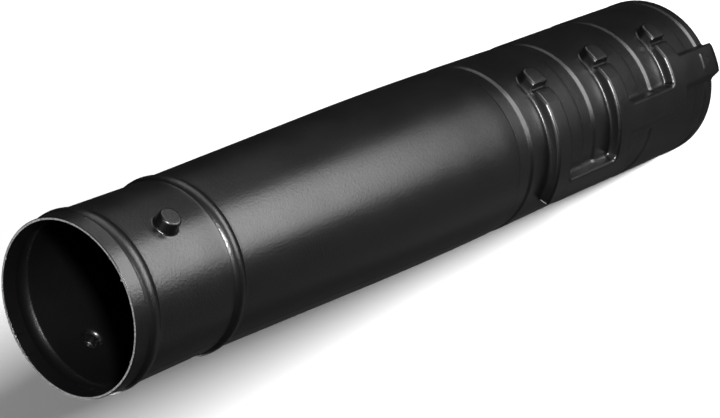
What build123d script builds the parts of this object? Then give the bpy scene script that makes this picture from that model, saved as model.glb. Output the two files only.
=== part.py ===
from build123d import *
import os
from math import atan2, cos, degrees, hypot, radians, sin

# Nozzle tube of a leaf blower, blown as one thin-walled piece of black plastic.
# It stands on its socket mouth at Z = 0, with the tube's axis on +Z and the outlet rim on top.
# Stations are counted down the axis from the outlet rim, and angles about the axis from +X towards -Y.

# Overall size
tube_length = 393.5
wall = 1.5

# Outlet end: a short lip, a bead, the spigot that carries the locking pins, and a second bead
spigot_radius = 33.45
lip_drop = 0.25
lip_crease_drop = 0.05
bead_1_start = 6.0
bead_1_width = 6.0
bead_1_height = 0.83
bead_2_start = 50.4
bead_2_width = 5.8
bead_2_height = 1.35

# Main tube: a long cone that eases into the socket
cone_start_rise = 0.57
cone_end_radius = 36.62
socket_radius = 37.6
ease_length = 79.0

# Socket: shallow rings pressed inwards, one beside each stop and one behind the mouth
stop_pitch = 50.0
ring_width = 9.6
ring_chamfer = 1.8
ring_depth = 0.48
land_start_rises = (0.1, 0.18, 0.74, 1.0)
land_end_rises = (-0.06, 0.48, 0.84, 1.0)

# Locking pins on the spigot
pin_angle = 36.4
pin_station = 30.0
pin_foot_radius = 4.6
pin_top_radius = 4.2
pin_height = 5.0
pin_chamfer = 0.7

# Stepped channel, raised outwards from the socket wall once on each side
channel_height = 5.0
arm_width = 11.8
ring_gap = 12.3
entry_length = 30.8
lower_step_angles = (105.8, 121.0)
upper_step_angles = (73.2, 88.6)
entry_angles = (56.6, 76.2)
corner_round = 1.2
roof_chamfer = 0.5

# Snap in the roof of each arm: the pocket ends at a notch, then come a crest and a ramp
notch_angles = (42.0, 42.4, 44.2, 45.3)
ramp_end_angle = 55.4
notch_depth = 3.6
crest_depth = 1.4

# Raised triangle on the entry that points to the mouth
mark_to_mouth = 5.5
mark_angle = 66.9
mark_length = 8.3
mark_width = 7.7
mark_height = 0.4

# The mould opens at right angles to this seam, so the channel's far sides slope that way
seam_angle = 131.5

# Copies, how far construction solids run past what they cut, and the room for rounding in a comparison
side_count = 2
overrun = 2.0
slope_reach_angle = 12.0
tiny = 0.05

pull_angle = seam_angle - 90.0
side_angles = [360.0 / side_count * side for side in range(side_count)]
stop_count = len(land_start_rises) - 1
first_arm = tube_length - entry_length - arm_width - stop_pitch * (stop_count - 1)
arm_starts = [first_arm + stop_pitch * stop for stop in range(stop_count)]
first_ring = first_arm - ring_gap - ring_width
cone_start = bead_2_start + bead_2_width
cone_end = first_ring - ease_length
mouth_radius = socket_radius + land_end_rises[-1]
roof_near_radius = socket_radius + channel_height
roof_far_radius = mouth_radius + channel_height
core_radius = socket_radius - wall - channel_height
reach_radius = roof_far_radius + channel_height
tube_axis = Axis((0, 0, tube_length), (0, 0, -1))


def outwards(angle):
    """Direction away from the axis at the angle."""
    return (cos(radians(angle)), -sin(radians(angle)), 0)


def axial_plane(angle):
    """Plane through the axis: local x runs down the tube, local y points outwards at the angle."""
    return Plane((0, 0, tube_length), x_dir=(0, 0, -1), z_dir=(-sin(radians(angle)), -cos(radians(angle)), 0))


def cross_plane(station, angle):
    """Plane across the axis that faces down: local x points outwards at the angle."""
    return Plane((0, 0, tube_length - station), x_dir=outwards(angle), z_dir=(0, 0, -1))


def outward_plane(station, angle):
    """Plane on the axis that faces outwards at the angle, with local x down the tube."""
    return Plane((0, 0, tube_length - station), x_dir=(0, 0, -1), z_dir=outwards(angle))


def roof_radius(station):
    """Outer radius of the channel's roof at a station along the tube."""
    share = (station - first_arm) / (tube_length - first_arm)
    return roof_near_radius + share * (roof_far_radius - roof_near_radius)


def distance(point):
    """Distance of a point from the axis."""
    return hypot(point.X, point.Y)


def polar(radius, angle):
    """Point in a cross plane that is drawn from angle 0."""
    return Vector(radius * cos(radians(angle)), radius * sin(radians(angle)))


def tube_body(inset):
    """Solid inside the outer skin of the tube, or inside the inner skin when inset is the wall."""
    near = -overrun if inset else 0
    far = tube_length + overrun if inset else tube_length
    spigot = spigot_radius - inset
    lip = spigot if inset else spigot - lip_drop
    crease = spigot if inset else spigot - lip_crease_drop
    cone_start_radius = spigot + cone_start_rise
    with BuildPart() as body:
        with BuildSketch(axial_plane(0)):
            with BuildLine():
                line = Polyline((near, 0), (near, lip), (bead_1_start, crease))
                line = ThreePointArc(
                    line @ 1,
                    (bead_1_start + bead_1_width / 2, spigot + bead_1_height),
                    (bead_1_start + bead_1_width, spigot),
                )
                line = Line(line @ 1, (bead_2_start, spigot))
                line = ThreePointArc(
                    line @ 1,
                    (bead_2_start + bead_2_width / 2, spigot + bead_2_height),
                    (cone_start, cone_start_radius),
                )
                cone = Line(line @ 1, (cone_end, cone_end_radius - inset))
                TangentArc(cone @ 1, (first_ring, socket_radius - inset), tangent=cone % 1)
                points = [(first_ring, socket_radius - inset)]
                for ring, rise in enumerate(land_start_rises):
                    start = first_ring + stop_pitch * ring
                    end = start + stop_pitch if ring < stop_count else far
                    land = socket_radius + rise - inset
                    points.append((start, land - ring_depth))
                    points.append((start + ring_width - ring_chamfer, land - ring_depth))
                    points.append((start + ring_width, land))
                    points.append((end, socket_radius + land_end_rises[ring] - inset))
                Polyline(*points, (far, 0), (near, 0))
            make_face()
        revolve(axis=tube_axis)
    return body.part


def under_roof(offset):
    """Solid of revolution from the axis out to the channel's roof, moved outwards by the offset."""
    near = first_arm - overrun
    far = tube_length + 2 * overrun
    with BuildPart() as cone:
        with BuildSketch(axial_plane(0)):
            Polygon(
                (near, 0),
                (near, roof_radius(near) + offset),
                (far, roof_radius(far) + offset),
                (far, 0),
                align=None,
            )
        revolve(axis=tube_axis)
    return cone.part


def channel_runs():
    """Stretches of the channel: start, end, low angle and high angle."""
    lows = (lower_step_angles[0], upper_step_angles[0])
    highs = (lower_step_angles[1], upper_step_angles[1])
    runs = []
    for stop, start in enumerate(arm_starts):
        runs.append((start, start + arm_width, pin_angle, highs[max(stop - 1, 0)]))
    for step in range(len(lows)):
        runs.append((arm_starts[step], arm_starts[step + 1] + arm_width, lows[step], highs[step]))
    runs.append((arm_starts[-1], tube_length, entry_angles[0], entry_angles[1]))
    return runs


def channel_blank(inset):
    """Channel without its snaps, up to its outer skin, or its inner skin when inset is the wall."""
    squeeze = degrees(inset / mouth_radius)
    extra = overrun if inset else 0
    with BuildPart() as channel:
        for start, end, low, high in channel_runs():
            first = start + inset
            last = end - inset if end < tube_length else end + extra
            low_side = low if low == pin_angle else low + squeeze
            high_side = high - squeeze if high == lower_step_angles[1] else high + slope_reach_angle
            with BuildSketch(axial_plane(low_side)):
                with Locations(((first + last) / 2, (core_radius + reach_radius) / 2)):
                    Rectangle(last - first, reach_radius - core_radius)
            revolve(axis=tube_axis, revolution_arc=high_side - low_side)
        for start in arm_starts:
            with BuildSketch(outward_plane(start + arm_width / 2, pin_angle).offset(core_radius)):
                Circle(arm_width / 2 - inset)
            extrude(amount=reach_radius - core_radius)
        slopes = (
            (arm_starts[-2] + arm_width - inset, arm_starts[-1] + arm_width + overrun, upper_step_angles[1]),
            (arm_starts[-1] + arm_width - inset, tube_length + 2 * overrun, entry_angles[1]),
        )
        for start, end, angle in slopes:
            edge = roof_radius(end) * sin(radians(angle - pull_angle)) - inset
            with BuildSketch(cross_plane(start, pull_angle)):
                with Locations((0, (edge + reach_radius) / 2)):
                    Rectangle(2 * reach_radius, reach_radius - edge)
            extrude(amount=end - start, mode=Mode.SUBTRACT)
        add(under_roof(-inset), mode=Mode.INTERSECT)
    return channel.part


def is_corner(edge):
    """Whether the edge is a corner of the channel's walls that shows, apart from the pocket ends."""
    top = max(distance(edge @ 0), distance(edge @ 1))
    bottom = min(distance(edge @ 0), distance(edge @ 1))
    middle = edge @ 0.5
    beside_pocket = abs(degrees(atan2(-middle.Y, middle.X)) - pin_angle) < 1
    return top > mouth_radius + overrun and top - bottom > overrun and not beside_pocket and middle.Z > tiny


def is_roof_edge(edge):
    """Whether the whole edge lies on the channel's roof, away from the mouth."""
    points = [edge @ share for share in (0, 0.25, 0.5, 0.75, 1)]
    on_roof = all(abs(distance(point) - roof_radius(tube_length - point.Z)) < tiny for point in points)
    return on_roof and points[2].Z > tiny


def snap_cut(start, inset):
    """Solid that presses the notch and the ramp into one arm's roof."""
    roof = roof_radius(start + arm_width / 2)
    pocket_top = polar(roof, notch_angles[0])
    pocket_foot = polar(roof - notch_depth, notch_angles[1])
    notch_end = polar(roof - notch_depth, notch_angles[2])
    crest = polar(roof - crest_depth, notch_angles[3])
    ramp_top = polar(roof, ramp_end_angle)
    with BuildPart() as snap:
        with BuildSketch(cross_plane(start - overrun, 0)):
            Polygon(
                pocket_top + (pocket_top - pocket_foot),
                pocket_foot,
                notch_end,
                crest,
                ramp_top + (ramp_top - crest),
                polar(reach_radius, (notch_angles[0] + ramp_end_angle) / 2),
                align=None,
            )
            if inset:
                offset(amount=inset, kind=Kind.INTERSECTION)
        extrude(amount=arm_width + 2 * overrun)
    return snap.part


def channel_body(inset):
    """Solid that fills the channel up to its outer skin, or its inner skin when inset is the wall."""
    with BuildPart() as channel:
        add(channel_blank(inset))
        if not inset:
            fillet(channel.edges().filter_by(is_corner), corner_round)
            chamfer(channel.edges().filter_by(is_roof_edge), roof_chamfer)
        for start in arm_starts:
            add(snap_cut(start, inset), mode=Mode.SUBTRACT)
    return channel.part


def mark_body():
    """Raised triangle on the channel's entry."""
    tip = tube_length - mark_to_mouth
    with BuildPart() as mark:
        with BuildSketch(outward_plane(tip, mark_angle).offset(mouth_radius)):
            Polygon((-mark_length, -mark_width / 2), (0, 0), (-mark_length, mark_width / 2), align=None)
        extrude(amount=reach_radius - mouth_radius)
        add(under_roof(mark_height), mode=Mode.INTERSECT)
    return mark.part


def pin_body(inset):
    """Locking pin on the spigot, or its hollow when inset is the wall."""
    base = spigot_radius - wall - overrun
    top = spigot_radius + pin_height - inset
    shoulder = top - pin_chamfer
    foot = pin_foot_radius - inset
    crown = pin_top_radius - inset
    with BuildPart() as pin:
        with BuildSketch(axial_plane(pin_angle)):
            Polygon(
                (pin_station, base),
                (pin_station + foot, base),
                (pin_station + foot, spigot_radius),
                (pin_station + crown, shoulder),
                (pin_station + crown - pin_chamfer, top),
                (pin_station, top),
                align=None,
            )
        revolve(axis=Axis((0, 0, tube_length - pin_station), outwards(pin_angle)))
    return pin.part


os.makedirs("parts", exist_ok=True)

outer_channel = channel_body(0)
inner_channel = channel_body(wall)
entry_mark = mark_body()
outer_pin = pin_body(0)
inner_pin = pin_body(wall)

with BuildPart() as nozzle_tube:
    add(tube_body(0))
    for side in side_angles:
        add(outer_channel.rotate(tube_axis, side))
        add(entry_mark.rotate(tube_axis, side))
        add(outer_pin.rotate(tube_axis, side))
    add(tube_body(wall), mode=Mode.SUBTRACT)
    for side in side_angles:
        add(inner_channel.rotate(tube_axis, side), mode=Mode.SUBTRACT)
        add(inner_pin.rotate(tube_axis, side), mode=Mode.SUBTRACT)

nozzle_tube.part.label = "nozzle_tube"
export_step(nozzle_tube.part, "parts/nozzle_tube.step")
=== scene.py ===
from math import asin, cos, degrees, pi, radians, sin

import bpy
import numpy as np
from bpy.props import FloatProperty, FloatVectorProperty, IntProperty, PointerProperty
from mathutils import Matrix, Vector
from mathutils.geometry import delaunay_2d_cdt
from mathutils.kdtree import KDTree


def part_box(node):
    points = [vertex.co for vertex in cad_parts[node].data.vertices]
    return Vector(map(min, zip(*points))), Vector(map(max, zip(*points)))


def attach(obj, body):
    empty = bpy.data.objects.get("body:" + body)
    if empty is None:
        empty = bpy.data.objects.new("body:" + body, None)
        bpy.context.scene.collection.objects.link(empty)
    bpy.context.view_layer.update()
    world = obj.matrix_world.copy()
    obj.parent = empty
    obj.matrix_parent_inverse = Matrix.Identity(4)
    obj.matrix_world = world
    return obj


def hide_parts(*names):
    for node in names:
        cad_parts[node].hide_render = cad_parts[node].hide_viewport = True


bl_info = {
    "name": "Leaf Blower Nozzle Tube",
    "version": (1, 0, 0),
    "blender": (4, 5, 0),
    "location": "View3D > Sidebar > Nozzle Tube",
    "description": "Builds a blow-moulded nozzle tube with a stepped bayonet channel, and a stage for it",
    "category": "Add Mesh",
}

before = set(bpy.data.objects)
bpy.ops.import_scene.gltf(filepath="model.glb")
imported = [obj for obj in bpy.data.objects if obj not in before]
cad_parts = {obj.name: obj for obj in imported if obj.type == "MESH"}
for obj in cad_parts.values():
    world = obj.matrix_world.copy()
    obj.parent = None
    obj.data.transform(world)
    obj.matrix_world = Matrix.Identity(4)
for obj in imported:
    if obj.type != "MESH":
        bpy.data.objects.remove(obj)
SOLID_LOW, SOLID_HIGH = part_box("nozzle_tube")

# Lengths below are in mm, and angles in degrees from +X towards -Y. Stations run down the tube from its
# outlet rim. The skin is drawn on an unrolled plane: (station, distance round the tube at UNROLL_RADIUS).
MM = 0.001
UNROLL_RADIUS = 40.0
FIRST_ANGLE, LAST_ANGLE = -20.0, 160.0

# Outlet end; a bead is its start, its end and the height of its crest
LIP_DROP, CREASE_DROP, CREASE_ROUND = 0.25, 0.05, 0.25
BEAD_1 = (6.0, 12.0, 0.83)
BEAD_2 = (50.4, 56.2, 1.35)
CONE_START_RISE = 0.57
CONE_END, CONE_END_DROP = 150.0, 0.98

# Socket: pressed rings, and the land's rise over the socket radius where each stretch starts and ends
RING_STARTS = (229.0, 279.0, 329.0, 379.0)
RING_WIDTH, RING_CHAMFER, RING_DEPTH, RING_TURN = 9.6, 1.8, 0.62, radians(48)
LAND_STARTS = (0.1, 0.18, 0.74, 1.0)
LAND_ENDS = (-0.06, 0.48, 0.84, 1.0)

# Stepped channel: arms with a round pocket, the angles of the two sides of each step and of the entry, the
# foot's radius beside the steps, and the radii at foot and brow of the inner skin
ARM_STARTS = (250.9, 300.9, 350.9)
ARM_WIDTH = 11.8
POCKET_ANGLE = 36.4
LOWER_STEP = (105.8, 121.0)
UPPER_STEP = (73.2, 88.6)
ENTRY = (56.6, 76.2)
PLAN_CORNER = 2.1
WALL_LEAN = 0.3
STEP_FOOT = 2.3
INSIDE_ROUNDS = (0.8, 0.5)

# Flanks that slope along the direction that the mould is pulled in, and how far the plan reaches over them
PULL_ANGLE = 41.5
SLOPE_REACH = 12.0
FLANK_BLEND = 0.8
FLANK_PAST_ARM, FLANK_PAST_MOUTH = 2.0, 4.0

# Snap notch in the roof of each arm: angles and depths of its bends, and their roundings
SNAP = ((42.0, 0.0), (42.4, -3.6), (44.2, -3.6), (45.3, -1.4), (55.4, 0.0))
SNAP_INSIDE = ((39.9, 0.0), (40.3, -3.6), (45.2, -3.6), (46.5, -1.4), (55.6, 0.0))
SNAP_ROUNDS = (0.5, 0.4, 0.4, 0.4, 0.3)

# Locking pin: its rounding at foot and head, outside and inside, and the reach that rows keep out of
PIN_STATION, PIN_FOOT, PIN_TOP, PIN_HEIGHT = 30.0, 4.6, 4.2, 5.0
PIN_ROUNDS, PIN_ROUNDS_INSIDE = (0.9, 0.9), (1.9, 0.5)
PIN_SIDES, PIN_CLEAR = 48, 6.2

# Raised triangle beside the entry; its lean turns a way along it into the distance from a slanting side
MARK_TIP, MARK_LENGTH, MARK_WIDTH, MARK_ANGLE = 388.0, 8.3, 7.7, 66.9
MARK_HEIGHT, MARK_EDGE = 0.45, 0.3
MARK_LEAN = (1 + (2 * MARK_LENGTH / MARK_WIDTH) ** 2) ** -0.5

# Ridge where the mould halves met
SEAM_ANGLE, SEAM_HEIGHT, SEAM_WIDTH = 131.5, 0.1, 0.6

# Burrs that the trimming knife left inside the outlet rim: angle, depth and width. Only the first one's place
# is read from the photo; the rest is guessed.
BURRS = ((58.0, 0.9, 0.9), (43.0, 0.3, 0.7), (73.0, 0.25, 0.8), (112.0, 0.35, 0.9))
BURR_LENGTH = 0.5

# Points of the skins: lines beside the channel's wall by their distance inside its plan, the pitch along
# them, rows by their distance from a rim, the pitch of rows along the channel, and columns
OUTER_MOVES = (
    -2.4, -2.1, -1.75, -1.4, -1.2, -1.0, -0.75, -0.45, -0.2, 0.0,
    0.3, 0.36, 0.5, 0.75, 1.05, 1.35, 1.7, 1.95,
)
INNER_MOVES = (-0.8, -0.4, 0.0, 0.3, 0.5, 0.8)
WALL_PITCH, WALL_PITCH_INSIDE = 1.9, 3.8
RIM_ROWS = (0.03, 0.1, 0.2, 0.3, 0.6)
ROW_PITCH, ROW_PITCH_INSIDE = 2.4, 4.8
COLUMNS, COLUMNS_INSIDE = 97, 65

# Points of the two halves closer than this, in m, are one
JOIN_DISTANCE = 0.000002

# Softboxes above the table, in m and W: name, place, target, side and power. The key stands behind the
# camera, a little to its side, so the shadow lies along the tube's lower side.
HIGH_LIGHTS = (
    ("Key softbox", (1.113, -1.682, 1.632), (-0.07, 0.13, 0.0), 0.22, 145.0),
    ("Top softbox", (0.05, -0.1, 2.2), (0.0, 0.0, 0.0), 1.0, 9.0),
)
# Softboxes below the table, which their light passes: name, angle, fall below the horizon, distance, width
# and power. They make the highlight along the tube and light its lower side.
LOW_LIGHTS = (
    ("Low softbox", 49.0, 26.0, 1.2, 1.05, 18.0),
    ("Low side softbox", -8.0, 14.0, 1.3, 1.2, 5.0),
    ("Low fill", 122.0, 46.0, 1.2, 1.2, 0.4),
    ("Low back fill", 185.0, 46.0, 1.2, 1.2, 0.15),
    ("Low rear softbox", 235.0, 12.0, 1.3, 1.0, 12.0),
)
LOW_LIGHT_HEIGHT, LOW_LIGHT_TARGET = 0.7, (0.0, 0.0, 0.15)
FLOOR_REACH = 6.0

# The photograph's camera, about a tube that stands: place in m, and the picture's right, up and back
CAMERA_LENS, CAMERA_SENSOR = 102.017, 36.0
CAMERA_PLACE = (0.25984, -0.48535, 0.85424)
CAMERA_AXES = ((0.0, -0.79094, -0.61189), (0.94756, 0.19555, -0.25278), (0.31960, -0.57980, 0.74946))


def srgb(code):
    """Linear colour with alpha 1 from a six-digit hex colour."""
    channels = [int(code[i:i + 2], 16) / 255 for i in (0, 2, 4)]
    linear = [c / 12.92 if c <= 0.04045 else ((c + 0.055) / 1.055) ** 2.4 for c in channels]
    return (*linear, 1.0)


def add_node(tree, kind, place, **values):
    """Add a node at a place of the node editor; values are properties, or inputs with _ for a space."""
    node = tree.nodes.new(kind)
    node.location = place
    for name, value in values.items():
        if hasattr(node, name):
            setattr(node, name, value)
        else:
            node.inputs[name.replace("_", " ")].default_value = value
    return node


def link(tree, source, output, target, socket):
    """Link an output to an input, each given by name or number."""
    tree.links.new(source.outputs[output], target.inputs[socket])


def new_material(name):
    """Empty node material with its output node."""
    material = bpy.data.materials.new(name)
    material.use_nodes = True
    tree = material.node_tree
    tree.nodes.clear()
    output = add_node(tree, "ShaderNodeOutputMaterial", (900, 0))
    return material, tree, output


def moulded_black_plastic(settings):
    """Black high-density polyethylene as it leaves an etched blow mould: satin, with a leathery grain."""
    material, tree, output = new_material("Blow-moulded black polyethylene")
    surface = add_node(tree, "ShaderNodeBsdfPrincipled", (600, 0), IOR=1.52)
    surface.inputs["Base Color"].default_value = (*settings.plastic_colour, 1.0)
    place = add_node(tree, "ShaderNodeTexCoord", (-600, 0))
    # grain of about 0.9 mm and a change of gloss over about 18 mm, both matched to the photo
    grain = add_node(tree, "ShaderNodeTexNoise", (-300, -200), Scale=1100.0, Detail=3.0, Roughness=0.6)
    cloud = add_node(tree, "ShaderNodeTexNoise", (-300, 120), Scale=55.0, Detail=4.0, Roughness=0.55)
    gloss = add_node(tree, "ShaderNodeMapRange", (0, 120))
    gloss.inputs["From Min"].default_value = 0.3
    gloss.inputs["From Max"].default_value = 0.7
    gloss.inputs["To Min"].default_value = settings.roughness - 0.025
    gloss.inputs["To Max"].default_value = settings.roughness + 0.035
    bump = add_node(tree, "ShaderNodeBump", (300, -200), Strength=0.4, Distance=0.0002)
    link(tree, place, "Object", grain, "Vector")
    link(tree, place, "Object", cloud, "Vector")
    link(tree, cloud, "Fac", gloss, "Value")
    link(tree, gloss, "Result", surface, "Roughness")
    link(tree, grain, "Fac", bump, "Height")
    link(tree, bump, "Normal", surface, "Normal")
    link(tree, surface, "BSDF", output, "Surface")
    return material


def trimmed_edge_plastic(settings):
    """The same polyethylene where a knife trimmed it: duller, and whitened by stress in small specks."""
    material, tree, output = new_material("Knife-trimmed black polyethylene")
    surface = add_node(tree, "ShaderNodeBsdfPrincipled", (600, 0), IOR=1.52, Roughness=0.5)
    place = add_node(tree, "ShaderNodeTexCoord", (-600, 0))
    # specks of about 0.7 mm, matched to the photo's rim
    specks = add_node(tree, "ShaderNodeTexNoise", (-300, 0), Scale=1500.0, Detail=5.0, Roughness=0.7)
    ramp = add_node(tree, "ShaderNodeValToRGB", (0, 0))
    ramp.color_ramp.elements[0].position = 0.4
    ramp.color_ramp.elements[0].color = srgb("525253")
    ramp.color_ramp.elements[1].position = 0.75
    ramp.color_ramp.elements[1].color = srgb("A8A8A5")
    link(tree, place, "Object", specks, "Vector")
    link(tree, specks, "Fac", ramp, "Fac")
    link(tree, ramp, "Color", surface, "Base Color")
    link(tree, surface, "BSDF", output, "Surface")
    return material


def matt_white_floor(settings):
    """Matt white studio table."""
    material, tree, output = new_material("Matt white studio table")
    surface = add_node(tree, "ShaderNodeBsdfPrincipled", (600, 0), Roughness=0.9)
    surface.inputs["Base Color"].default_value = (*settings.floor_colour, 1.0)
    link(tree, surface, "BSDF", output, "Surface")
    return material


def along(angle):
    """Distance round the unrolled plane of an angle."""
    return radians(angle) * UNROLL_RADIUS


def rounded_line(points, rounds, steps=4):
    """Polyline with each inner corner replaced by a short curve of the given reach."""
    line = [points[0]]
    for before, point, after, reach in zip(points, points[1:], points[2:], rounds):
        before, point, after = (np.array(p, float) for p in (before, point, after))
        if reach == 0:
            line.append(tuple(point))
            continue
        back, on = before - point, after - point
        start = point + back * min(reach / np.linalg.norm(back), 0.42)
        end = point + on * min(reach / np.linalg.norm(on), 0.42)
        for u in np.linspace(0, 1, steps):
            line.append(tuple((1 - u) ** 2 * start + 2 * u * (1 - u) * point + u ** 2 * end))
    line.append(points[-1])
    return line


def bead_points(bead, start_radius, end_radius, radius):
    """Points on the arc of a bead between its two feet, its crest measured from a radius."""
    start, end, crest_height = bead
    crest = radius + crest_height - (start_radius + end_radius) / 2
    points = []
    for u in np.linspace(0, 1, 13)[1:-1]:
        foot = start_radius + (end_radius - start_radius) * u
        points.append((start + (end - start) * u, foot + crest * (1 - (2 * u - 1) ** 2), 0))
    return points


def ring_points(start, land, shelf):
    """Points of a pressed ring, from the land before it, over a rounded edge, to the chamfer behind it."""
    floor = shelf - RING_DEPTH
    chamfer = start + RING_WIDTH - RING_CHAMFER
    bend = (land - floor) / (1 - cos(RING_TURN))
    points = [
        (start + bend * (sin(a) - sin(RING_TURN)), land - bend * (1 - cos(a)), 0)
        for a in np.linspace(0, RING_TURN, 6)
    ]
    points += [(t, floor, 0) for t in (start + 0.2, start + 1.6, chamfer - 1.3)]
    points += [(chamfer, floor, 0.3), (start + RING_WIDTH, shelf, 0.3)]
    return points


def tube_profile(sizes, inset):
    """Stations and radii of the plain tube's outer skin, or of its inner skin when inset is the wall."""
    spigot = sizes["spigot"] - inset
    socket = sizes["socket"] - inset
    crease = spigot if inset else spigot - CREASE_DROP
    cone_start = spigot + CONE_START_RISE
    cone_end = socket - CONE_END_DROP
    slope = (cone_end - cone_start) / (CONE_END - BEAD_2[1])
    # each point is a station, a radius and the rounding of its bend
    points = [(0.0, spigot if inset else spigot - LIP_DROP, 0), (BEAD_1[0], crease, CREASE_ROUND)]
    points += bead_points(BEAD_1, crease, spigot, spigot)
    points += [(BEAD_1[1], spigot, CREASE_ROUND), (14.0, spigot, 0), (48.4, spigot, 0)]
    points.append((BEAD_2[0], spigot, CREASE_ROUND))
    points += bead_points(BEAD_2, spigot, cone_start, spigot)
    points.append((BEAD_2[1], cone_start, CREASE_ROUND))
    points += [(t, cone_start + (t - BEAD_2[1]) * slope, 0) for t in (58.2, 80.0, 105.0, 130.0)]
    ease = RING_STARTS[0] - CONE_END
    for u in np.linspace(0, 1, 8)[:-1]:
        rise = slope * ease * u + (socket - cone_end - slope * ease) * u * u
        points.append((CONE_END + ease * u, cone_end + rise, 0))
    land = socket
    for start, first, last in zip(RING_STARTS, LAND_STARTS, LAND_ENDS):
        points += ring_points(start, land, socket + first)
        if start != RING_STARTS[-1]:
            points.append((start + RING_WIDTH + 1.4, socket + first, 0))
        land = socket + last
    points.append((sizes["length"], land, 0))
    return np.array(rounded_line([p[:2] for p in points], [p[2] for p in points[1:-1]]))


def roof_radius(sizes, station):
    """Outer radius of the channel's roof."""
    share = (station - ARM_STARTS[0]) / (sizes["length"] - ARM_STARTS[0])
    return sizes["socket"] + sizes["channel"] + share * LAND_ENDS[-1]


def flank_ends(sizes):
    """Station and angle where the flanks of the upper step and of the entry strip reach the roof."""
    arm_3_end = ARM_STARTS[2] + ARM_WIDTH
    return (arm_3_end + FLANK_PAST_ARM, UPPER_STEP[1]), (sizes["length"] + FLANK_PAST_MOUTH, ENTRY[1])


def flank_offset(sizes, end, angle):
    """Distance of a sloping flank from the plane that the mould is pulled along."""
    return roof_radius(sizes, end) * sin(radians(angle - PULL_ANGLE))


def plan_corners(sizes):
    """Corners of the channel's plan with their radii, in order round it."""
    far = sizes["length"] + FLANK_PAST_MOUTH
    arm_1, arm_2, arm_3 = ARM_STARTS
    pocket = along(POCKET_ANGLE) - ARM_WIDTH / 2
    full = ARM_WIDTH / 2 - 0.01
    c = PLAN_CORNER
    return [
        (far, along(ENTRY[0]), 0), (arm_3 + ARM_WIDTH, along(ENTRY[0]), c),
        (arm_3 + ARM_WIDTH, pocket, full), (arm_3, pocket, full),
        (arm_3, along(UPPER_STEP[0]), c), (arm_2 + ARM_WIDTH, along(UPPER_STEP[0]), c),
        (arm_2 + ARM_WIDTH, pocket, full), (arm_2, pocket, full),
        (arm_2, along(LOWER_STEP[0]), c), (arm_1 + ARM_WIDTH, along(LOWER_STEP[0]), c),
        (arm_1 + ARM_WIDTH, pocket, full), (arm_1, pocket, full),
        (arm_1, along(LOWER_STEP[1]), c), (arm_2 + ARM_WIDTH, along(LOWER_STEP[1]), c),
        (arm_2 + ARM_WIDTH, along(UPPER_STEP[1] + SLOPE_REACH), 0),
        (arm_3 + ARM_WIDTH, along(UPPER_STEP[1] + SLOPE_REACH), 0),
        (arm_3 + ARM_WIDTH, along(ENTRY[1] + SLOPE_REACH), 0), (far, along(ENTRY[1] + SLOPE_REACH), 0),
    ]


def plan_outline(sizes, inward, pitch):
    """The channel's plan moved inwards by a distance, as a closed polyline."""
    corners = plan_corners(sizes)
    points = []
    for i, (t, s, radius) in enumerate(corners):
        here = np.array((t, s))
        come = here - np.array(corners[i - 1][:2])
        go = np.array(corners[(i + 1) % len(corners)][:2]) - here
        come, go = come / np.linalg.norm(come), go / np.linalg.norm(go)
        # the plan runs clockwise, so its inside lies to the right of the way
        in_come, in_go = np.array((come[1], -come[0])), np.array((go[1], -go[0]))
        outward_corner = come[0] * go[1] - come[1] * go[0] < 0
        moved = here + (in_come + in_go) * inward
        if radius == 0:
            points.append(moved)
            continue
        bend = max(radius - inward if outward_corner else radius + inward, 0.02)
        start, end = moved - come * bend, moved + go * bend
        centre = start + (in_come if outward_corner else -in_come) * bend
        for a in np.linspace(0, pi / 2, 17 if radius > 3 else 7):
            points.append(centre + (start - centre) * cos(a) + (end - centre) * sin(a))
    return np.array(split_loop(points, pitch))


def split_loop(corners, pitch):
    """Closed polyline through the corners, with its edges split at about the pitch."""
    line = []
    for p, q in zip(corners, corners[1:] + corners[:1]):
        p, q = np.array(p), np.array(q)
        pieces = max(1, round(np.linalg.norm(q - p) / pitch))
        line += [p + (q - p) * k / pieces for k in range(pieces)]
    return line


def signed_distance(points, loop):
    """Distance of points to a closed polyline, positive inside it."""
    way = np.roll(loop, -1, axis=0) - loop
    result = []
    # in parts, so that the tables of points by edges stay small
    for p in np.array_split(points[:, None, :], max(1, len(points) // 4000)):
        u = np.clip(((p - loop) * way).sum(2) / np.maximum((way**2).sum(1), 1e-12), 0, 1)
        gap = np.sqrt(((p - loop - way * u[..., None]) ** 2).sum(2)).min(1)
        above = loop[:, 1] > p[..., 1]
        crosses = above != np.roll(above, -1, axis=1)
        rise = np.where(way[:, 1] == 0, 1.0, way[:, 1])
        left = p[..., 0] < loop[:, 0] + (p[..., 1] - loop[:, 1]) * way[:, 0] / rise
        inside = (crosses & left).sum(1) % 2 == 1
        result.append(np.where(inside, gap, -gap))
    return np.concatenate(result)


def soft_low(a, b, reach):
    """The lower of two surfaces, with their crossing rounded."""
    blend = np.maximum(reach - np.abs(a - b), 0) / reach
    return np.minimum(a, b) - blend * blend * reach / 4


def soft_high(a, b, reach):
    """The higher of two surfaces, with their crossing rounded."""
    return -soft_low(-a, -b, reach)


def climb(low, high, inside, foot, brow):
    """Surface that climbs from low to high over a wall, with a hollow foot and a rounded brow."""
    rise = np.maximum(high - low, 0)
    foot = np.minimum(foot, 0.45 * rise)
    brow = np.minimum(brow, 0.45 * rise)
    at_foot = foot - np.sqrt(np.maximum(foot**2 - np.clip(inside + foot, 0, foot) ** 2, 0))
    on_wall = foot + (rise - brow - foot) * np.clip(inside / WALL_LEAN, 0, 1)
    over_brow = np.clip(brow + WALL_LEAN - inside, 0, brow)
    at_brow = rise - brow + np.sqrt(np.maximum(brow**2 - over_brow**2, 0))
    return low + np.where(inside <= 0, at_foot, np.where(inside < WALL_LEAN, on_wall, at_brow))


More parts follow.
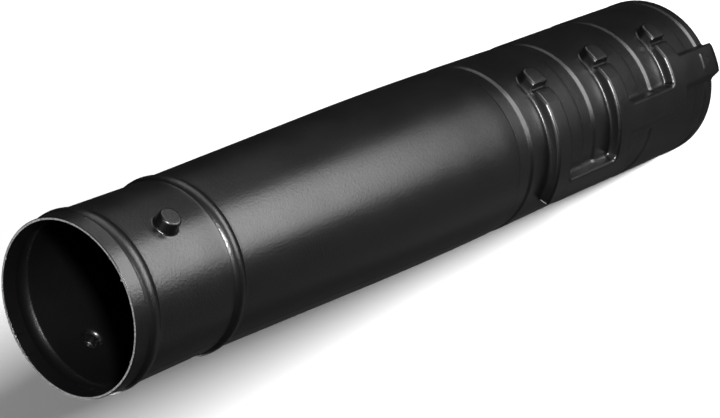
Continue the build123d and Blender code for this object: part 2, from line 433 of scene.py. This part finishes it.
def channel_top(sizes, t, s, inset, base, foot, brow):
    """Radius of the channel's roof, with its steps, sloping flanks and snap notches."""
    roof = roof_radius(sizes, t) - inset
    turn = s / UNROLL_RADIUS - radians(PULL_ANGLE)

    def flank(end, top_angle):
        offset = flank_offset(sizes, end, top_angle) - inset
        # near the pull direction a flank's plane is far outside the tube
        slope = np.where(turn > 0.3, offset / np.maximum(np.sin(turn), 0.05), 99.0)
        shape = soft_high(base, soft_low(roof, slope, FLANK_BLEND), FLANK_BLEND)
        return np.where(slope < base - FLANK_BLEND, base, shape)

    arm_2_end, arm_3_end = ARM_STARTS[1] + ARM_WIDTH, ARM_STARTS[2] + ARM_WIDTH
    upper_flank, entry_flank = flank_ends(sizes)
    top = np.where(t > ARM_STARTS[1], flank(*entry_flank), base)
    top = climb(top, flank(*upper_flank), arm_3_end - inset - t, foot, brow)
    top = climb(top, roof, arm_2_end - inset - t, foot, brow)
    snap = SNAP if inset == 0 else SNAP_INSIDE
    line = [(along(angle), depth) for angle, depth in ((30.0, 0.0), *snap, (70.0, 0.0))]
    line = np.array(rounded_line(line, SNAP_ROUNDS))
    in_arm = np.any([(t > start - 2) & (t < start + ARM_WIDTH + 2) for start in ARM_STARTS], axis=0)
    return np.where(in_arm, top + np.interp(s, line[:, 0], line[:, 1]), top)


def mark_rise(t, s):
    """Height of the raised triangle over the roof."""
    across = np.abs(s - along(MARK_ANGLE)) * 2 / MARK_WIDTH
    inside = np.minimum(t - (MARK_TIP - MARK_LENGTH), (MARK_TIP - t - across * MARK_LENGTH) * MARK_LEAN)
    return MARK_HEIGHT * np.clip(inside / MARK_EDGE + 0.5, 0, 1)


def seam_rise(s):
    """Height of the ridge where the mould halves met."""
    return SEAM_HEIGHT * np.clip(1 - np.abs(s - along(SEAM_ANGLE)) * 2 / SEAM_WIDTH, 0, 1)


def burr_depth(t, s):
    """Depth of the burrs inside the outlet rim."""
    depths = [
        depth * np.clip(1 - np.abs(s - along(angle)) / width, 0, 1) * np.clip(1 - t / BURR_LENGTH, 0, 1)
        for angle, depth, width in BURRS
    ]
    return np.sum(depths, axis=0)


def step_foot(foot, t, s):
    """Radius at the foot of the channel's walls, which grows beside the low sides of its two steps."""
    grown = foot
    for start, end, step in ((*ARM_STARTS[:2], LOWER_STEP), (*ARM_STARTS[1:], UPPER_STEP)):
        between_arms = np.clip((np.minimum(t - start - ARM_WIDTH, end - t) - 1.5) / 4, 0, 1)
        beside_step = np.abs(s - along(step[0])) < 4
        grown = grown + (STEP_FOOT - foot) * between_arms * beside_step
    return grown


def skin_radius(sizes, points, inset, profile, loop):
    """Radius of the outer skin, or of the inner skin when inset is the wall, at points of the plane."""
    t, s = points[:, 0], points[:, 1]
    base = np.interp(t, profile[:, 0], profile[:, 1])
    foot, brow = (sizes["foot"], sizes["brow"]) if inset == 0 else INSIDE_ROUNDS
    top = channel_top(sizes, t, s, inset, base, foot, brow)
    if inset == 0:
        top = top + mark_rise(t, s)
        base = base + seam_rise(s)
        foot = step_foot(foot, t, s)
    else:
        base = base - burr_depth(t, s)
    edge = sizes["rim_round"]
    to_end = np.clip(edge - np.minimum(t, sizes["length"] - t), 0, edge)
    trim = edge - np.sqrt(edge**2 - to_end**2)
    inside = signed_distance(points, loop) - inset - trim
    return climb(base, top, inside, foot, brow) + (trim if inset else -trim)


def pin_rings(sizes, inset):
    """Rings of a locking pin about its own axis, from the toe of its foot fillet to its flat end."""
    spigot = sizes["spigot"] - inset
    foot, crown = PIN_FOOT - inset, PIN_TOP - inset
    top = sizes["spigot"] + PIN_HEIGHT - inset
    fillet, brow = PIN_ROUNDS if inset == 0 else PIN_ROUNDS_INSIDE
    turns = np.linspace(0, 2 * pi, PIN_SIDES + 1)[:-1]
    rings = []
    for a in np.linspace(0, pi / 2, 8):
        reach, rise = foot + fillet * (1 - sin(a)), fillet * (1 - cos(a))
        ring = [(reach * cos(p), reach * sin(p)) for p in turns]
        rings.append([(x, y, (spigot**2 - y**2) ** 0.5 + rise) for x, y in ring])
    for a in np.linspace(0, pi / 2, 7):
        reach, height = crown - brow * (1 - cos(a)), top - brow * (1 - sin(a))
        rings.append([(reach * cos(p), reach * sin(p), height) for p in turns])
    for share in (0.9, 0.5):
        reach = (crown - brow) * share
        rings.append([(reach * cos(p), reach * sin(p), top) for p in turns])
    return rings


class PlaneLines:
    """Points and fixed edges on the unrolled plane."""

    def __init__(self):
        self.points = []
        self.edges = []

    def add(self, line, closed=False):
        first = len(self.points)
        self.points += [(float(t), float(s)) for t, s in line]
        self.edges += [(first + i, first + i + 1) for i in range(len(line) - 1)]
        if closed:
            self.edges.append((first + len(line) - 1, first))

    def search_tree(self):
        tree = KDTree(len(self.points))
        for i, (t, s) in enumerate(self.points):
            tree.insert((t, s, 0), i)
        tree.balance()
        return tree


def add_wall_lines(lines, sizes, inset, moves):
    """Lines along the channel's walls, and along the two steps down in its roof."""
    for move in moves:
        pitch = WALL_PITCH if inset == 0 else WALL_PITCH_INSIDE
        lines.add(plan_outline(sizes, move + inset, pitch), closed=True)
        # the sides of arms 2 and 3 that stand over a sloping flank, from just before its top
        for arm, step, start in ((ARM_STARTS[1], UPPER_STEP, 86.5), (ARM_STARTS[2], ENTRY, 74.5)):
            t = arm + ARM_WIDTH - inset - move
            end = along(step[1] + SLOPE_REACH) - inset - move
            lines.add([(t, s) for s in np.linspace(along(start), end, 8)])


def add_flank_lines(lines, sizes, inset, profile):
    """Lines along the top and the foot of the two sloping flanks."""
    arm_2_end, arm_3_end = (start + ARM_WIDTH - inset for start in ARM_STARTS[1:])
    stretches = ((arm_2_end - 0.3, arm_3_end - 1.5), (arm_3_end - 0.3, sizes["length"] + 1.0))
    for (end, top_angle), (near, far) in zip(flank_ends(sizes), stretches):
        middle = (near + far) / 2
        offset = flank_offset(sizes, end, top_angle) - inset
        for radius in (roof_radius(sizes, middle) - inset, np.interp(middle, profile[:, 0], profile[:, 1])):
            crossing = along(PULL_ANGLE + degrees(asin(offset / radius)))
            for share in (-1.0, -0.5, 0.0, 0.5, 1.0):
                stations = np.linspace(near, far, round((far - near) / ROW_PITCH))
                lines.add([(t, crossing + share * FLANK_BLEND) for t in stations])


def add_snap_lines(lines, inset):
    """Lines across the arms, beside the bends of their snap notches."""
    edge, beside = 0.35, 2.2
    stations = (
        edge + inset, beside + inset, ARM_WIDTH / 2, ARM_WIDTH - beside - inset, ARM_WIDTH - edge - inset
    )
    for start in ARM_STARTS:
        for angle, depth in SNAP if inset == 0 else SNAP_INSIDE:
            reach = 0.35 if angle < 50 else 0.6
            for move in (-reach, -reach / 3, 0.0, reach / 3, reach):
                lines.add([(start + t, along(angle) + move) for t in stations])


def add_mark_lines(lines):
    """Lines round the edge of the raised triangle."""
    middle = along(MARK_ANGLE)
    for inward in (-MARK_EDGE, -MARK_EDGE / 2, MARK_EDGE / 2, MARK_EDGE):
        tip, foot = MARK_TIP - inward / MARK_LEAN, MARK_TIP - MARK_LENGTH + inward
        half = (tip - foot) / MARK_LENGTH * MARK_WIDTH / 2
        lines.add(split_loop([(foot, middle - half), (tip, middle), (foot, middle + half)], 1.5), closed=True)


def pin_toe(sizes, inset):
    """Outline of a locking pin's foot on the plane."""
    radius = sizes["spigot"] - inset
    return np.array([
        (PIN_STATION + x, along(POCKET_ANGLE) + asin(y / radius) * UNROLL_RADIUS)
        for x, y, z in pin_rings(sizes, inset)[0]
    ])


def row_stations(sizes, inset, profile):
    """Stations of the bends and rims, and of all rows: also between them near the pins and the channel."""
    length = sizes["length"]
    bends = {round(t, 4) for t in profile[:, 0]} | set(RIM_ROWS) | {length - t for t in RIM_ROWS}
    pitch = ROW_PITCH if inset == 0 else ROW_PITCH_INSIDE
    between = [*np.arange(19.0, 42.0, 3.0), *np.arange(240.0, length - 1, pitch)]
    return bends, sorted([*bends, *(t for t in between if min(abs(t - b) for b in bends) > 1.1)])


def crossed_step(station):
    """The step or entry of the channel that a row crosses at a ring or below the last one."""
    for ring, step in zip(RING_STARTS[1:], (LOWER_STEP, UPPER_STEP, ENTRY)):
        below_last = ring == RING_STARTS[-1] and station > ring
        if ring - 1.4 <= station <= ring + RING_WIDTH + 0.4 or below_last:
            return step
    return None


def add_rows(lines, sizes, inset, profile, columns, moves):
    """Add the rows that stay lines, at rims and rings, and give the points of the others."""
    bends, rows = row_stations(sizes, inset, profile)
    outside = [move for move in moves if move <= 0]
    # rows stop this far from the wall, and go on along the lines outside it
    clear = 0.4 - moves[0]
    loose = []
    for t in rows:
        if t in (0.0, sizes["length"]):
            lines.add([(t, s) for s in columns])
            continue
        step = crossed_step(t)
        if t not in bends or step is None:
            loose += [(t, s) for s in columns[1:-1]]
            continue
        low, high = along(step[0]) + inset, along(step[1]) - inset
        before = [(t, s) for s in columns[1:-1] if s < low - clear]
        lines.add(before + [(t, low + move) for move in outside])
        if step is LOWER_STEP:
            after = [(t, s) for s in columns[1:-1] if s > high + clear]
            lines.add([(t, high - move) for move in outside[::-1]] + after)
        else:
            lines.add([(t, s) for s in columns[1:-1] if s > high + inset + clear])
    seam = [along(SEAM_ANGLE) + move for move in (-SEAM_WIDTH / 2, 0.0, SEAM_WIDTH / 2)]
    for s in (columns[0], columns[-1], *(seam if inset == 0 else ())):
        lines.add([(t, s) for t in rows])
    return np.array(loose)


def plane_faces(lines, length, columns, hole):
    """Corners and triangles of the plane between its ends and sides, with a hole left open."""
    corners, _, faces, *_ = delaunay_2d_cdt([Vector(p) for p in lines.points], lines.edges, [], 0, 1e-5)
    corners = np.array([tuple(c) for c in corners])
    faces = np.array([tuple(face) for face in faces if len(face) == 3])
    centres = corners[faces].mean(1)
    keep = (centres[:, 0] > 0) & (centres[:, 0] < length)
    keep &= (centres[:, 1] > columns[0]) & (centres[:, 1] < columns[-1])
    keep &= signed_distance(centres, hole) < 0
    used, faces = np.unique(faces[keep], return_inverse=True)
    return corners[used], faces.reshape(-1, 3)


def skin_faces(sizes, inset):
    """Points of the plane, their radii and the faces of one half of a skin."""
    fine = inset == 0
    profile = tube_profile(sizes, inset)
    loop = plan_outline(sizes, 0.0, WALL_PITCH)
    moves = OUTER_MOVES if fine else INNER_MOVES
    columns = np.linspace(along(FIRST_ANGLE), along(LAST_ANGLE), COLUMNS if fine else COLUMNS_INSIDE)
    lines = PlaneLines()
    add_wall_lines(lines, sizes, inset, moves)
    add_flank_lines(lines, sizes, inset, profile)
    add_snap_lines(lines, inset)
    if fine:
        add_mark_lines(lines)
    toe = pin_toe(sizes, inset)
    pin = np.array((PIN_STATION, along(POCKET_ANGLE)))
    for grow in (1.0, 1.12, 1.3):
        lines.add(pin + (toe - pin) * grow, closed=True)
    for angle, depth, width in () if fine else BURRS:
        for move in (-width, 0.0, width):
            lines.add([(t, along(angle) + move) for t in (0.0, *RIM_ROWS)])
    drawn = lines.search_tree()

    # the rows' points that lie on or beside a line are left out, so that no sliver comes between
    loose = add_rows(lines, sizes, inset, profile, columns, moves)
    for (t, s), depth in zip(loose, signed_distance(loose, loop) - inset):
        beside_wall = moves[0] - 0.35 < depth < moves[-1] + 0.35
        beside_line = drawn.find((t, s, 0))[2] < 0.55 and (t > 240 or 20 < t < 40)
        in_pin = (t - pin[0]) ** 2 + (s - pin[1]) ** 2 < PIN_CLEAR**2
        beside_seam = fine and abs(s - along(SEAM_ANGLE)) < SEAM_WIDTH
        if not (beside_wall or beside_line or in_pin or beside_seam):
            lines.points.append((t, s))

    corners, faces = plane_faces(lines, sizes["length"], columns, toe)
    a, b, c = (corners[faces[:, i]] for i in range(3))
    turn = (b[:, 0] - a[:, 0]) * (c[:, 1] - a[:, 1]) - (b[:, 1] - a[:, 1]) * (c[:, 0] - a[:, 0])
    wrong = (turn > 0) == fine
    faces[wrong] = faces[wrong][:, ::-1]
    return corners, skin_radius(sizes, corners, inset, profile, loop), faces


def pin_faces(first, rings):
    """Faces over the rings of a pin, whose points start at a number and are followed by its middle."""
    count = len(rings[0])
    faces = []
    for k in range(len(rings) - 1):
        for i in range(count):
            a, b = first + k * count + i, first + k * count + (i + 1) % count
            faces.append((a, b, b + count, a + count))
    last = first + (len(rings) - 1) * count
    return faces + [(last + i, last + (i + 1) % count, last + count) for i in range(count)]


def rim_faces(outer, inner):
    """Triangles between two rows of (distance, vertex number) that run the same way."""
    faces = []
    i = j = 0
    while i < len(outer) - 1 or j < len(inner) - 1:
        if j == len(inner) - 1 or (i < len(outer) - 1 and outer[i + 1][0] <= inner[j + 1][0]):
            faces.append((outer[i][1], outer[i + 1][1], inner[j][1]))
            i += 1
        else:
            faces.append((outer[i][1], inner[j + 1][1], inner[j][1]))
            j += 1
    return faces


def half_tube_mesh(sizes, name):
    """Mesh of half of the tube, from one mould half to the other, with one pin and one channel."""
    verts, faces, ends = [], [], {}
    length, wall = sizes["length"], sizes["wall"]
    pin = radians(POCKET_ANGLE)
    out = np.array((cos(pin), -sin(pin), 0.0))
    across = np.array((-sin(pin), -cos(pin), 0.0))
    down = np.array((0.0, 0.0, -1.0))
    for inset in (0.0, wall):
        corners, radius, skin = skin_faces(sizes, inset)
        first = len(verts)
        angle = corners[:, 1] / UNROLL_RADIUS
        places = (radius * np.cos(angle), -radius * np.sin(angle), length - corners[:, 0])
        verts += np.stack(places, 1).tolist()
        faces += (skin + first).tolist()
        for station in (0.0, length):
            row = np.nonzero(np.abs(corners[:, 0] - station) < 1e-4)[0]
            ends[station, inset] = sorted((corners[i, 1], first + int(i)) for i in row)
        rings = pin_rings(sizes, inset)
        patch = pin_faces(len(verts), rings)
        foot = np.array((0.0, 0.0, length - PIN_STATION))
        for ring in rings:
            verts += [tuple(foot + down * x + across * y + out * z) for x, y, z in ring]
        verts.append(tuple(foot + out * rings[-1][0][2]))
        faces += patch if inset else [face[::-1] for face in patch]
    trimmed = [face[::-1] for face in rim_faces(ends[0.0, 0.0], ends[0.0, wall])]
    trimmed += rim_faces(ends[length, 0.0], ends[length, wall])
    mesh = bpy.data.meshes.new(name)
    mesh.from_pydata([(x * MM, y * MM, z * MM) for x, y, z in verts], [], faces + trimmed)
    cut = mesh.attributes.new("trimmed", "BOOLEAN", "FACE")
    cut.data.foreach_set("value", [i >= len(faces) for i in range(len(mesh.polygons))])
    mesh.shade_smooth()
    return mesh


def repeat_round_axis():
    """Node group that sets copies of a mesh evenly round the Z axis and joins them along their edges."""
    tree = bpy.data.node_groups.new("Repeat round the axis", "GeometryNodeTree")
    face = tree.interface
    face.new_socket("Geometry", in_out="OUTPUT", socket_type="NodeSocketGeometry")
    face.new_socket("Geometry", in_out="INPUT", socket_type="NodeSocketGeometry")
    face.new_socket("Copies", in_out="INPUT", socket_type="NodeSocketInt").default_value = 2
    joint = face.new_socket("Join Distance", in_out="INPUT", socket_type="NodeSocketFloat")
    joint.default_value = JOIN_DISTANCE
    face.new_socket("Skin", in_out="INPUT", socket_type="NodeSocketMaterial")
    face.new_socket("Trimmed Edge", in_out="INPUT", socket_type="NodeSocketMaterial")
    start = add_node(tree, "NodeGroupInput", (-900, 0))
    spots = add_node(tree, "GeometryNodeMeshLine", (-600, 200))
    spots.inputs["Offset"].default_value = (0, 0, 0)
    index = add_node(tree, "GeometryNodeInputIndex", (-900, -200))
    share = add_node(tree, "ShaderNodeMath", (-700, -200), operation="DIVIDE")
    turn = add_node(tree, "ShaderNodeMath", (-500, -200), operation="MULTIPLY")
    turn.inputs[1].default_value = 2 * pi
    rotation = add_node(tree, "ShaderNodeCombineXYZ", (-300, -200))
    copies = add_node(tree, "GeometryNodeInstanceOnPoints", (-100, 0))
    real = add_node(tree, "GeometryNodeRealizeInstances", (100, 0))
    joined = add_node(tree, "GeometryNodeMergeByDistance", (300, 0))
    skin = add_node(tree, "GeometryNodeSetMaterial", (500, 0))
    cut = add_node(tree, "GeometryNodeInputNamedAttribute", (500, -200), data_type="BOOLEAN", Name="trimmed")
    edge = add_node(tree, "GeometryNodeSetMaterial", (700, 0))
    end = add_node(tree, "NodeGroupOutput", (900, 0))
    link(tree, start, "Copies", spots, "Count")
    link(tree, spots, "Mesh", copies, "Points")
    link(tree, start, "Geometry", copies, "Instance")
    link(tree, index, "Index", share, 0)
    link(tree, start, "Copies", share, 1)
    link(tree, share, "Value", turn, 0)
    link(tree, turn, "Value", rotation, "Z")
    link(tree, rotation, "Vector", copies, "Rotation")
    link(tree, copies, "Instances", real, "Geometry")
    link(tree, real, "Geometry", joined, "Geometry")
    link(tree, start, "Join Distance", joined, "Distance")
    link(tree, joined, "Geometry", skin, "Geometry")
    link(tree, start, "Skin", skin, "Material")
    link(tree, skin, "Geometry", edge, "Geometry")
    link(tree, cut, "Attribute", edge, "Selection")
    link(tree, start, "Trimmed Edge", edge, "Material")
    link(tree, edge, "Geometry", end, "Geometry")
    return tree


def apply_nodes(context, mesh, tree, values):
    """Mesh that a node group makes of another mesh, with its named inputs set."""
    base = bpy.data.objects.new(mesh.name, mesh)
    context.scene.collection.objects.link(base)
    modifier = base.modifiers.new(tree.name, "NODES")
    modifier.node_group = tree
    for socket in tree.interface.items_tree:
        if socket.item_type == "SOCKET" and socket.in_out == "INPUT" and socket.name in values:
            modifier[socket.identifier] = values[socket.name]
    graph = context.evaluated_depsgraph_get()
    made = bpy.data.meshes.new_from_object(base.evaluated_get(graph), depsgraph=graph)
    bpy.data.objects.remove(base)
    return made


def light_panel(scene, name, place, target, width, height, power):
    """Rectangular softbox that shines from its place to the target."""
    light = bpy.data.lights.new(name, "AREA")
    light.shape = "RECTANGLE"
    light.size, light.size_y = width, height
    light.energy = power
    lamp = bpy.data.objects.new(name, light)
    lamp.location = place
    lamp.rotation_mode = "QUATERNION"
    lamp.rotation_quaternion = (Vector(target) - Vector(place)).to_track_quat("-Z", "Y")
    lamp.visible_camera = False
    scene.collection.objects.link(lamp)


class NozzleTubeSettings(bpy.types.PropertyGroup):
    """Sizes and colours of the nozzle tube and its stage."""

    length: FloatProperty(
        name="Length", description="From the outlet rim to the socket mouth",
        default=round(SOLID_HIGH.z - SOLID_LOW.z, 5), unit="LENGTH",
    )
    wall: FloatProperty(
        name="Wall", description="Thickness of the blown wall", default=0.0015, unit="LENGTH",
    )
    spigot: FloatProperty(
        name="Spigot radius", description="Outer radius between the beads", default=0.03345, unit="LENGTH",
    )
    socket: FloatProperty(
        name="Socket radius", description="Outer radius where the socket starts", default=0.0376,
        unit="LENGTH",
    )
    channel: FloatProperty(
        name="Channel height", description="Height of the stepped channel over the socket", default=0.005,
        unit="LENGTH",
    )
    foot: FloatProperty(
        name="Foot fillet", description="Radius at the foot of the channel's walls", default=0.0012,
        unit="LENGTH",
    )
    brow: FloatProperty(
        name="Brow rounding", description="Radius at the top of the channel's walls", default=0.0014,
        unit="LENGTH",
    )
    rim_round: FloatProperty(
        name="Rim rounding", description="Radius of the trimmed rims", default=0.0003, unit="LENGTH",
    )
    halves: IntProperty(name="Halves", description="Copies of the half tube round the axis", default=2, min=1)
    roughness: FloatProperty(name="Roughness", description="Mean roughness of the skin", default=0.3)
    plastic_colour: FloatVectorProperty(
        name="Plastic", description="Colour of the plastic", default=srgb("060607")[:3], size=3,
        subtype="COLOR",
    )
    floor_colour: FloatVectorProperty(
        name="Floor", description="Colour of the studio table", default=srgb("F4F4F4")[:3], size=3,
        subtype="COLOR",
    )


class NOZZLETUBE_OT_tube(bpy.types.Operator):
    """Build the moulded nozzle tube"""

    bl_idname = "nozzletube.tube"
    bl_label = "Build Nozzle Tube"

    def execute(self, context):
        settings = context.scene.nozzle_tube
        names = ("length", "wall", "spigot", "socket", "channel", "foot", "brow", "rim_round")
        sizes = {name: round(getattr(settings, name) / MM, 4) for name in names}
        half = half_tube_mesh(sizes, "Half of the tube")
        skin, edge = moulded_black_plastic(settings), trimmed_edge_plastic(settings)
        half.materials.append(skin)
        values = {
            "Copies": settings.halves, "Join Distance": JOIN_DISTANCE, "Skin": skin, "Trimmed Edge": edge,
        }
        mesh = apply_nodes(context, half, repeat_round_axis(), values)
        mesh.name = "moulded_nozzle_tube"
        tube = bpy.data.objects.new("moulded_nozzle_tube", mesh)
        context.scene.collection.objects.link(tube)
        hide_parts("nozzle_tube")
        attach(tube, "root")
        return {"FINISHED"}


class NOZZLETUBE_OT_stage(bpy.types.Operator):
    """Set up the floor, the soft lights and the camera"""

    bl_idname = "nozzletube.stage"
    bl_label = "Build Stage"

    def execute(self, context):
        settings = context.scene.nozzle_tube
        scene = context.scene
        side = FLOOR_REACH
        corners = [(-side, -side, 0), (side, -side, 0), (side, side, 0), (-side, side, 0)]
        mesh = bpy.data.meshes.new("Floor")
        mesh.from_pydata(corners, [], [(0, 1, 2, 3)])
        mesh.materials.append(matt_white_floor(settings))
        floor = bpy.data.objects.new("Floor", mesh)
        floor.visible_glossy = False
        floor.visible_shadow = False
        scene.collection.objects.link(floor)

        world = bpy.data.worlds.new("Dim studio")
        world.use_nodes = True
        backdrop = world.node_tree.nodes["Background"]
        backdrop.inputs["Color"].default_value = (1, 1, 1, 1)
        backdrop.inputs["Strength"].default_value = 0.012
        scene.world = world

        for name, place, target, side, power in HIGH_LIGHTS:
            light_panel(scene, name, place, target, side, side, power)
        target = Vector(LOW_LIGHT_TARGET)
        for name, angle, fall, reach, width, power in LOW_LIGHTS:
            turn, drop = radians(angle), radians(fall)
            way = Vector((cos(turn) * cos(drop), -sin(turn) * cos(drop), -sin(drop)))
            light_panel(scene, name, target + way * reach, target, width, LOW_LIGHT_HEIGHT, power)

        camera = bpy.data.cameras.new("Camera")
        camera.lens = CAMERA_LENS
        camera.sensor_width = CAMERA_SENSOR
        eye = bpy.data.objects.new("Camera", camera)
        eye.matrix_world = Matrix.Translation(CAMERA_PLACE) @ Matrix(CAMERA_AXES).transposed().to_4x4()
        scene.collection.objects.link(eye)
        scene.camera = eye
        scene.view_settings.view_transform = "Standard"
        return {"FINISHED"}


class NOZZLETUBE_PT_panel(bpy.types.Panel):
    """Sizes, colours and steps of the nozzle tube"""

    bl_idname = "NOZZLETUBE_PT_panel"
    bl_label = "Nozzle Tube"
    bl_space_type = "VIEW_3D"
    bl_region_type = "UI"
    bl_category = "Nozzle Tube"

    def draw(self, context):
        settings = context.scene.nozzle_tube
        column = self.layout.column()
        for name in NozzleTubeSettings.__annotations__:
            column.prop(settings, name)
        column.operator(NOZZLETUBE_OT_tube.bl_idname)
        column.operator(NOZZLETUBE_OT_stage.bl_idname)


CLASSES = (NozzleTubeSettings, NOZZLETUBE_OT_tube, NOZZLETUBE_OT_stage, NOZZLETUBE_PT_panel)


def register():
    for item in CLASSES:
        bpy.utils.register_class(item)
    bpy.types.Scene.nozzle_tube = PointerProperty(type=NozzleTubeSettings)


def unregister():
    del bpy.types.Scene.nozzle_tube
    for item in reversed(CLASSES):
        bpy.utils.unregister_class(item)


def main():
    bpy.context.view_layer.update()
    register()
    for step in (bpy.ops.nozzletube.tube, bpy.ops.nozzletube.stage):
        if step() != {"FINISHED"}:
            raise RuntimeError("a step of the nozzle tube didn't finish")


if __name__ == "__main__":
    main()
